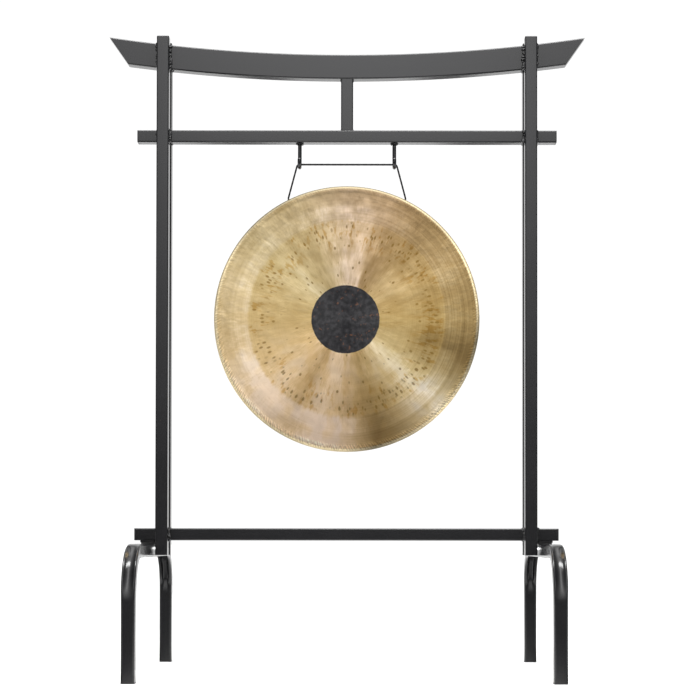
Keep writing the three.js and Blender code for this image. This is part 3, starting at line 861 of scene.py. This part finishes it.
half_foot, pressed = [], []
for i in range(25):
    height = low.z + (leg_top - low.z) * i / 24
    half_foot.append(Vector((0, -leg_y, height)))
    pressed.append(how_pressed(half_bend + leg_top - height))
for i in range(1, 33):
    angle = math.pi / 2 * i / 32
    half_foot.append(Vector((0, FOOT_BEND - leg_y - FOOT_BEND * math.cos(angle),
                             leg_top + FOOT_BEND * math.sin(angle))))
    pressed.append(how_pressed(half_bend * abs(i / 16 - 1)))
for i in range(1, 6):
    half_foot.append(Vector((0, FOOT_BEND - leg_y + BAR_STEP * i, bar_z)))
    pressed.append(how_pressed(half_bend + BAR_STEP * i))
foot_line = half_foot + [Vector((0, -p.y, p.z)) for p in reversed(half_foot)]
pressed += pressed[::-1]
for side, x in SIDES:
    line = [point + Vector((x * foot_x, 0, 0)) for point in foot_line]
    piece_from(path_mesh(f"foot {side}", [line], {"pressed": pressed}), bar_tree,
               {"Material": black_coat, "Width": FOOT, "Depth": FOOT, "Corner Radius": 4.5 * MM,
                "Flat Cuts": 19, "Outer Sag": 8.5 * MM, "Shoulder": 3.0 * MM,
                "Inner Sag": 8.0 * MM, "Side Bulge": 1.0 * MM},
               f"foot_tube_{side}", "stand", f"foot_{side}", slot="powder_coat",
               finish=flat_sides)
    for depth, y in DEPTHS:
        cap_piece(f"foot_tip_{depth}_{side}", f"foot_plug_{depth}_{side}", FOOT, 4 * MM,
                  14 * MM, 1.0 * MM, Matrix.Rotation(math.pi, 3, "X"),
                  Vector((x * foot_x, y * leg_y, FLANGE)))


# Plates and pads under the bottom rail's ends, which rest on the feet's bars: a steel plate with
# rounded corners, and a pad of rubber sheet under it.
pad_rubber = coated("black rubber pad", (0.008, 0.008, 0.008), (0.014, 0.014, 0.014),
                    0.75, 0.9, 0.2 * MM)
REST_CORNER, REST_EDGE = 6 * MM, 0.5 * MM
for side, x in SIDES:
    for kind, material, slot in (("plate", black_coat, "powder_coat"),
                                 ("pad", pad_rubber, "pad_rubber")):
        low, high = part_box(f"stub_{kind}_{side}")
        half = (high - low) / 2
        levels = [rounded_square(half.x - inset, half.y - inset, REST_CORNER, height)
                  for inset, height in ((REST_EDGE, -half.z), (0, REST_EDGE - half.z),
                                        (0, half.z - REST_EDGE), (REST_EDGE, half.z))]
        keep(moulded(levels, UPRIGHT, (low + high) / 2, material), f"rest_{kind}_{side}", "stand",
             f"stub_{kind}_{side}", slot=slot)


# The bolts: flanged hexagon bolts of zinc-plated steel through the feet's bars, with a chamfered
# head, over spacer rings, into nuts welded inside the posts.
zinc_group, given = new_group("ShaderNodeTree", "zinc plate", {"Grain Size": 0.8 * MM})
where = add(zinc_group, "ShaderNodeTexCoord", output="Object")
cells = add(zinc_group, "ShaderNodeTexVoronoi",
            {"Vector": where, "Scale": 1 / given["Grain Size"]}, output="Color")
stretched = add(zinc_group, "ShaderNodeMapping", {"Vector": where, "Scale": (3000, 300, 300)})
gives(zinc_group, {"Spangle": add(zinc_group, "ShaderNodeRGBToBW", {"Color": cells}),
                   "Scratch": noise(stretched, 1.0, 2.0)})
zinc, tree, shader = new_material("zinc plate")
spangle = add(tree, "ShaderNodeGroup", output="Spangle", node_tree=zinc_group)
scratch = spangle.also("Scratch")
set_inputs(shader, {
    "Base Color": blend(spangle, (0.42, 0.43, 0.45), (0.60, 0.60, 0.58)), "Metallic": 1.0,
    "Roughness": mask(scratch, 0.0, 1.0, 0.25, 0.5, kind="LINEAR"),
    "Normal": bump(scratch, 0.2, 0.02 * MM)})


def joined(parts):
    """Several geometries as one."""
    whole = add(parts[0].tree, "GeometryNodeJoinGeometry")
    for part in parts:
        set_inputs(whole.socket.node, {0: part})
    return whole


bolt_tree, given = new_group("GeometryNodeTree", "flanged bolts at points", {
    "Geometry": None, "Across Flats": 13 * MM, "Head Height": 5.3 * MM,
    "Flange Diameter": 17 * MM, "Flange Height": 1.6 * MM, "Shank Diameter": 8 * MM,
    "Shank Length": 47 * MM, "Material": None})
head, flange = given["Head Height"], given["Flange Height"]
corner_radius = given["Across Flats"] / math.sqrt(3)
flat_radius = given["Across Flats"] / 2.0
flange_radius = given["Flange Diameter"] / 2.0
shank_radius = given["Shank Diameter"] / 2.0
brim = flange * 0.5
chamfer = head * 0.88
tip = given["Shank Length"] * -1.0
point = tip + 1 * MM
levels = []
for sides, bottom, top, low, high in (
        (32, flange_radius, flange_radius, 0.0, brim),
        (32, flange_radius, corner_radius, brim, flange),
        (6, corner_radius, corner_radius, 0.0, chamfer),
        (32, flat_radius, flat_radius * 0.86, chamfer, head),
        (24, shank_radius, shank_radius, point, 0.0),
        (24, shank_radius * 0.8, shank_radius, tip, point)):
    level = add(bolt_tree, "GeometryNodeMeshCone",
                {"Vertices": sides, "Radius Bottom": bottom, "Radius Top": top,
                 "Depth": high - low})
    levels.append(level.into("Transform", {
        "Translation": add(bolt_tree, "ShaderNodeCombineXYZ", {"Z": low})}))
lean = add(bolt_tree, "ShaderNodeCombineXYZ", {"Y": stored(bolt_tree, "side") * (math.pi / 2)})
bolts = given["Geometry"].into("InstanceOnPoints", {
    "Instance": joined(levels),
    "Rotation": add(bolt_tree, "FunctionNodeEulerToRotation", {0: lean})})
bolts = bolts.into("RealizeInstances").into("SetMaterial", {"Material": given["Material"]})
gives(bolt_tree, {"Geometry": bolts})

places, ways, nodes = [], [], []
for side, x in SIDES:
    for depth, y in DEPTHS:
        low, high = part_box(f"foot_bolt_{depth}_{side}")
        places.append([Vector((x * (foot_x + FOOT / 2), (low.y + high.y) / 2,
                               (low.z + high.z) / 2))])
        ways.append(float(x))
        nodes.append(f"foot_bolt_{depth}_{side}")
        refinished(f"foot_spacer_{depth}_{side}", zinc)
        refinished(f"foot_nut_{depth}_{side}", zinc)
piece_from(path_mesh("bolt places", places, {"side": ways}), bolt_tree, {"Material": zinc},
           "foot_bolts", "stand", *nodes, slot="zinc_steel")


# The gong: hammered bronze, thin, slightly domed, its rim turned back. Its face is scraped on a
# lathe in fine rings but for the black scale left in the middle, and hammer marks ring it.
BALANCE_DEPTH = 12.07 * MM
HUB = 100 * MM
gong_lean = math.atan2(HOLE_DEPTH - BALANCE_DEPTH, hole.z - gong_middle)
leaned = Matrix.Rotation(gong_lean, 3, "X")
gong_place = Vector((0, TROUGH.y, hole.z)) + leaned @ Vector((
    0, -HOLE_DEPTH, gong_middle - hole.z))
outline, inside = [], []
for wall, behind, steps in ((0, 0, 100), (1, WALL, 50)):
    half_outline = []
    for i in range(steps):
        out = face_end * i / steps
        half_outline.append((out, behind + DOME * (out / GONG_RADIUS) ** 2))
    for i in range(9):
        angle = math.pi / 2 * i / 8
        reach = EDGE_ROUND - behind
        half_outline.append((face_end + reach * math.sin(angle),
                             rim_start - reach * math.cos(angle)))
    for i in range(1, 13):
        half_outline.append((GONG_RADIUS - behind - RIM_TAPER * i / 12,
                             rim_start + (RIM_DEPTH - rim_start) * i / 12))
    outline += half_outline[::-1] if wall else half_outline
    inside += [float(wall)] * len(half_outline)
outline_points = [Vector((out - HUB, depth, 0)) for out, depth in outline]

# Tree: the outline swept round a hub, then buckled and dented a little, and drilled for the cord
turned, given = new_group("GeometryNodeTree", "turned and hammered sheet", {
    "Geometry": None, "Segments": 288, "Radius": GONG_RADIUS, "Buckle": 1.1 * MM,
    "Dents": 0.7 * MM, "Seed": 7.0, "Hole Diameter": RIM_HOLE, "Lean": gong_lean,
    "Face Material": None, "Back Material": None})
profile = given["Geometry"].into("MeshToCurve")
hub = add(turned, "GeometryNodeCurvePrimitiveCircle",
          {"Resolution": given["Segments"], "Radius": HUB}, mode="RADIUS")
sheet = hub.into("SetCurveNormal", mode="Z_UP").into("CurveToMesh", {"Profile Curve": profile})
sheet = sheet.into("MergeByDistance", {"Distance": 0.02 * MM})
flat = add(turned, "GeometryNodeInputPosition") * (1, 1, 0)
share = flat.through("LENGTH") / given["Radius"]
lift = add(turned, "ShaderNodeCombineXYZ", {"Z": share * 0.8 + given["Seed"]})
buckle, dents = (
    (noise(vector * scale + lift, 1.0, 1.0) - 0.5) * given[size]
    for vector, scale, size in (
        (flat.through("NORMALIZE"), 2.6, "Buckle"), (flat, 28.0, "Dents")))
fade = mask(share, 0.0, 0.25, kind="LINEAR") * mask(share, 0.975, 0.93, kind="LINEAR")
height = (buckle * share + dents) * fade
sheet = sheet.into("SetPosition", {
    "Offset": add(turned, "ShaderNodeCombineXYZ", {"Z": height})})
sheet = sheet.into("SetMaterial", {"Material": given["Face Material"]})
sheet = sheet.into("SetMaterial", {
    "Selection": stored(turned, "inside").through("GREATER_THAN", 0.6),
    "Material": given["Back Material"]})
drills = []
for _, x in SIDES:
    drill = add(turned, "GeometryNodeMeshCylinder",
                {"Vertices": 32, "Depth": 4 * WALL, "Radius": given["Hole Diameter"] / 2.0})
    drill = drill.into("SetMaterial", {"Material": given["Face Material"]})
    drills.append(drill.into("Transform", {
        "Rotation": (math.pi / 2, 0, -x * HOLE_ANGLE),
        "Translation": (x * hole.x, hole.z - gong_middle, -HOLE_DEPTH)}))
sheet = add(turned, "GeometryNodeMeshBoolean", {"Mesh 1": sheet, "Mesh 2": joined(drills)},
            operation="DIFFERENCE", solver="EXACT")
turn = add(turned, "ShaderNodeCombineXYZ", {"X": given["Lean"] + math.pi / 2})
sheet = shaded(sheet, math.radians(40)).into(
    "Transform", {"Rotation": turn, "Translation": gong_place})
gives(turned, {"Geometry": sheet})

# Shader group: round coordinates on the gong, its radius as a share, its clock angle from six
# round to six again, and how far back a place lies along the rim
polar, given = new_group("ShaderNodeTree", "gong clock", {"Radius": GONG_RADIUS})
where = add(polar, "ShaderNodeTexCoord", output="Object")
centred = add(polar, "ShaderNodeMapping", {"Vector": where, "Location": (0, 0, -gong_middle)})
flat = centred * (1, 0, 1)
aside, _, up = split(flat)
gives(polar, {
    "Share": flat.through("LENGTH") / given["Radius"],
    "Clock": mask(aside.through("ARCTAN2", up), -math.pi, math.pi, kind="LINEAR"),
    "Spoke": flat.through("NORMALIZE"),
    "Depth": (where - gong_place).through("DOT_PRODUCT", leaned @ Vector((0, 1, 0)))})


def round_noise(spoke, share, across, outward, detail=2.0, seed=0.0):
    """Noise drawn out along the radius: fine across the spokes, long outwards."""
    lift = add(spoke.tree, "ShaderNodeCombineXYZ", {"Y": share * outward + seed})
    return noise(spoke * across + lift, 1.0, detail)


def by_the_clock(clock, levels):
    """Levels at each hour round the gong, from six round to six again: the painted highlights and
    shade of its face, edge and lip, and how plain the lip's strokes are.
    """
    return ramp(clock, [((hour - 6) / 12, level) for hour, level in levels])


bronze, tree, shader = new_material("hammered bronze")
share = add(tree, "ShaderNodeGroup", output="Share", node_tree=polar)
clock, spoke, depth = (share.also(name) for name in ("Clock", "Spoke", "Depth"))
# The bronze is painted brighter and darker in sectors round the face, in three rings from the
# middle outwards: painted highlights and shade, the sheen that the turned rings throw, over bronze
# that is bright where the scraper ran clean and brown where fire scale is left
swayed = clock + round_noise(spoke, share, 7.0, 3.0) * 0.03 - 0.015
# The levels of the three rings by the hour, inner, middle and outer, are painted highlight and
# shade
inner = by_the_clock(swayed, (
    (6, 0.74), (6.5, 0.97), (7, 0.54), (7.5, 0.78), (8.5, 0.55), (9, 0.44), (9.6, 0.44),
    (10.4, 0.62), (11, 0.46), (11.5, 0.61), (12, 0.70), (12.5, 0.73), (12.75, 0.36), (13.1, 0.36),
    (13.4, 0.47), (14, 0.50), (14.5, 0.39), (15.5, 0.42), (16, 0.53), (16.5, 0.89), (17, 0.62),
    (17.5, 0.52), (18, 0.74)))
middle = by_the_clock(swayed, (
    (6, 0.60), (6.5, 0.92), (7, 0.60), (7.5, 0.88), (8, 0.71), (8.5, 0.56), (9, 0.48), (10, 0.47),
    (10.5, 0.52), (11, 0.43), (11.5, 0.55), (12.5, 0.64), (12.9, 0.36), (13.5, 0.31), (14, 0.43),
    (14.5, 0.35), (15, 0.39), (15.5, 0.26), (16, 0.43), (16.5, 0.92), (17, 0.53), (17.5, 0.39),
    (18, 0.60)))
outer = by_the_clock(swayed, (
    (6, 0.78), (6.5, 1.0), (7, 0.77), (7.5, 1.0), (8, 0.94), (8.5, 0.70), (9, 0.58), (9.5, 0.62),
    (10, 0.56), (11, 0.46), (11.5, 0.57), (12.5, 0.50), (13, 0.36), (13.5, 0.31), (14, 0.43),
    (14.6, 0.33), (15.1, 0.36), (15.5, 0.20), (16, 0.50), (16.5, 1.0), (17, 0.55), (17.5, 0.28),
    (18, 0.78)))
from_middle = round_noise(spoke, share, 30.0, 8.0, seed=3.0) * 0.04 + share
outside = mask(from_middle, 0.745, 0.775)
level = blend(mask(from_middle, 0.45, 0.66), inner, middle)
level = blend(outside, level, outer)
# Painted shade: a band just inside the turned edge is darkened by a share that changes with the
# hour
edge_painted_shade = by_the_clock(clock, (
    (6, 0.91), (8, 0.87), (10, 0.84), (12, 0.70), (13, 0.84), (14.5, 0.86), (16, 0.81),
    (17, 0.75), (18, 0.88)))
level = blend(mask(share, 0.83, 0.89), level, level * edge_painted_shade)
# Streaks along the radius left by hammer and scraper, in patches
coarse = round_noise(spoke, share, 9.0, 7.0, detail=3.0, seed=11.0)
fine = round_noise(spoke, share, 60.0, 22.0, seed=17.0)
patches = mask(round_noise(spoke, share, 5.0, 5.0, seed=41.0), 0.4, 0.6)
level = level * mask(coarse, 0.25, 0.75, 0.91, 1.24)
level = level * ((fine - 0.5) * patches * 0.45 + 1.0)
# Fine rings left by the lathe, strongest near the edge and low on the right
turning = round_noise(spoke, share, 0.6, 85.0, detail=3.0, seed=5.0)
low_right = mask(abs(clock - 0.78), 0.30, 0.10, 0.35, 1.0)
ringed = (turning - 0.5) * mask(share, 0.40, 0.85, 0.25, 1.0) * low_right
level = level * (ringed * 0.8 + 1.0)
tone = ramp(level, (
    (0.0, (0.03, 0.015, 0.004)), (0.20, (0.20, 0.125, 0.045)), (0.35, (0.35, 0.235, 0.095)),
    (0.50, (0.50, 0.355, 0.165)), (0.65, (0.65, 0.48, 0.25)), (0.80, (0.80, 0.62, 0.37)),
    (1.0, (1.0, 0.82, 0.58))))
# Heat has left the top and the bottom rosier, and the sides a little greener
rosy = ramp(clock, (
    (0.0, (1.02, 0.94, 0.90)), (0.12, (1.02, 0.94, 0.86)), (0.25, (0.99, 1.0, 0.96)),
    (0.36, (0.98, 1.07, 1.14)), (0.44, (0.98, 1.03, 1.10)), (0.5, (1.02, 1.03, 1.26)),
    (0.56, (1.02, 0.98, 1.1)), (0.62, (1.0, 0.99, 1.0)), (0.75, (1.0, 1.01, 0.92)),
    (0.86, (0.98, 1.03, 1.02)), (0.95, (1.01, 0.96, 0.86)), (1.0, (1.02, 0.94, 0.90))))
tone = blend(1.0, tone, rosy, "MULTIPLY")
tone = blend(outside, tone, blend(1.0, tone, (0.99, 1.02, 1.16), "MULTIPLY"))
# Brown hammer spots in a ring round the face, drawn out along the radius, and specks near it
spots = []
for across, outward, reach, kept, start, end, seed in (
        (26.0, 20.0, 0.43, 0.45, 0.60, 0.76, 0.0), (13.0, 18.0, 0.28, 0.58, 0.27, 0.62, 31.0)):
    far = add(tree, "ShaderNodeCombineXYZ", {"Y": share * outward + seed})
    cell = add(tree, "ShaderNodeTexVoronoi", {"Vector": spoke * across + far, "Scale": 1.0})
    spots.append(mask(cell, reach, reach * 0.45) * mask(cell.also("Color"), kept, kept + 0.08)
                 * mask(from_middle, start, start + 0.03) * mask(from_middle, end, end - 0.03))
spotted = spots[0].at_least(spots[1]) * 0.75
# Patches of mustard-brown scale hang together between the spots
scaly = (mask(round_noise(spoke, share, 26.0, 15.0, detail=4.0, seed=67.0), 0.50, 0.62)
         * mask(round_noise(spoke, share, 5.0, 4.0, seed=71.0), 0.42, 0.58)
         * mask(from_middle, 0.48, 0.62) * mask(from_middle, 0.78, 0.74))
tone = blend(scaly * 0.8, tone, blend(1.0, tone, (0.76, 0.62, 0.36), "MULTIPLY"))
tone = blend(spotted, tone, (0.20, 0.115, 0.025))
# The lip, polished brighter, with a painted highlight whose strength changes round it by the hour,
# and slanting hammer strokes that follow each other round it, here plainer and there fainter
lip_polish_and_highlight = by_the_clock(clock, (
    (6, 0.50), (6.5, 0.58), (7, 0.48), (8, 0.85), (8.6, 0.85), (9.8, 0.78), (10.4, 0.28),
    (11, 0.19), (12.6, 0.27), (13.6, 0.52), (14.1, 1.0), (14.8, 0.95), (15.3, 0.28), (15.8, 0.42),
    (16.4, 0.95), (17, 0.44), (17.6, 0.14), (18, 0.48)))
on_lip = mask(share, 0.970, 0.984)
tone = blend(on_lip, tone, blend(1.0, lip_polish_and_highlight, (1.0, 0.84, 0.54), "MULTIPLY"))
stroke = clock * 310.0 + share * 26.0 + round_noise(spoke, share, 40.0, 3.0, seed=83.0) * 2.6
plainer = by_the_clock(clock, (
    (6, 1.0), (8.5, 0.9), (9.5, 0.35), (11.5, 0.15), (13, 0.25), (14.5, 0.35), (15.6, 1.0),
    (18, 1.0)))
stroke = ((stroke * math.tau).through("SINE") * plainer * mask(share, 0.935, 0.965)
          * mask(share, 0.996, 0.984))
tone = blend(1.0, tone, stroke * 0.30 + 0.97, "MULTIPLY")
# The black scale left in the middle, with rust-brown mottles
where = add(tree, "ShaderNodeTexCoord", output="Object")
blotch = noise(where, 90.0, 4.0)
rust = noise(where, 110.0, 4.0)
scale_tone = blend(mask(blotch, 0.35, 0.7), (0.002, 0.002, 0.003), (0.019, 0.018, 0.020))
scale_tone = blend(mask(rust, 0.60, 0.72, 0.0, 0.7), scale_tone, (0.09, 0.035, 0.015))
off_middle = ((where - (-3 * MM, 0, gong_middle - 2 * MM)) * (1, 0, 1)).through("LENGTH")
black = mask(blotch * (3 * MM) + off_middle, 86.5 * MM, 84.5 * MM)
tone = blend(black, tone, scale_tone)
# The rim behind the lip, beaten round and left brown in patches, with rows of hammer marks
on_rim = mask(depth, 12 * MM, 17 * MM)
tone = blend(on_rim, tone, ramp(noise(where, 26.0, 5.0), (
    (0.34, (0.20, 0.12, 0.045)), (0.50, (0.42, 0.29, 0.12)), (0.68, (0.60, 0.45, 0.22)))))
beaten = on_rim * add(tree, "ShaderNodeTexVoronoi", {"Vector": where, "Scale": 62.0},
                      feature="SMOOTH_F1")
dull = mask(coarse, 0.3, 0.7, 0.44, 0.34)
for rougher in (black, spotted, on_lip):
    dull = dull.at_least(rougher * 0.6)
# Relief: hammer marks in the outer ring, streaks and rings over the face, strokes round the lip
strokes = (round_noise(spoke, share, 55.0, 4.0, detail=1.0, seed=23.0)
           * mask(share, 0.94, 0.97, 0.0, 1.6) + stroke * 0.10)
hammered = (round_noise(spoke, share, 22.0, 16.0, detail=1.0, seed=53.0)
            * mask(share, 0.68, 0.80, 0.3, 1.6))
relief = coarse * 0.9 + fine * 0.35 + ringed * 0.4 + strokes + hammered + beaten * 2.5
set_inputs(shader, {
    "Base Color": tone, "Metallic": 1.0 - black, "Roughness": dull, "Specular IOR Level": 0.3,
    "Normal": bump(relief, 0.6, 0.45 * MM), "Anisotropic": 0.4,
    "Tangent": add(tree, "ShaderNodeTangent", direction_type="RADIAL", axis="Y")})

# Inside, the sheet keeps the fire's brown scale, with hammer marks in courses round the middle
raw, tree, shader = new_material("raw bronze")
share = add(tree, "ShaderNodeGroup", output="Share", node_tree=polar)
spoke = share.also("Spoke")
where = add(tree, "ShaderNodeTexCoord", output="Object")
courses = round_noise(spoke, share, 2.0, 34.0, seed=101.0)
blows = round_noise(spoke, share, 32.0, 26.0, seed=97.0)
marks = add(tree, "ShaderNodeTexVoronoi", {"Vector": where, "Scale": 55.0}, feature="SMOOTH_F1")
level = courses * 0.35 + blows * 0.30 + noise(where, 16.0, 6.0) * 0.35
set_inputs(shader, {
    "Base Color": ramp(level, ((0.38, (0.075, 0.048, 0.030)), (0.50, (0.155, 0.100, 0.055)),
                               (0.62, (0.29, 0.195, 0.10)))),
    "Metallic": 0.8, "Roughness": mask(level, 0.38, 0.62, 0.60, 0.44),
    "Normal": bump(marks, 0.5, 0.6 * MM)})

piece_from(path_mesh("gong outline", [outline_points], {"inside": inside}), turned,
           {"Face Material": bronze, "Back Material": raw}, "gong_bronze", "gong", "gong",
           slot="gong_bronze")


low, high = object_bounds()
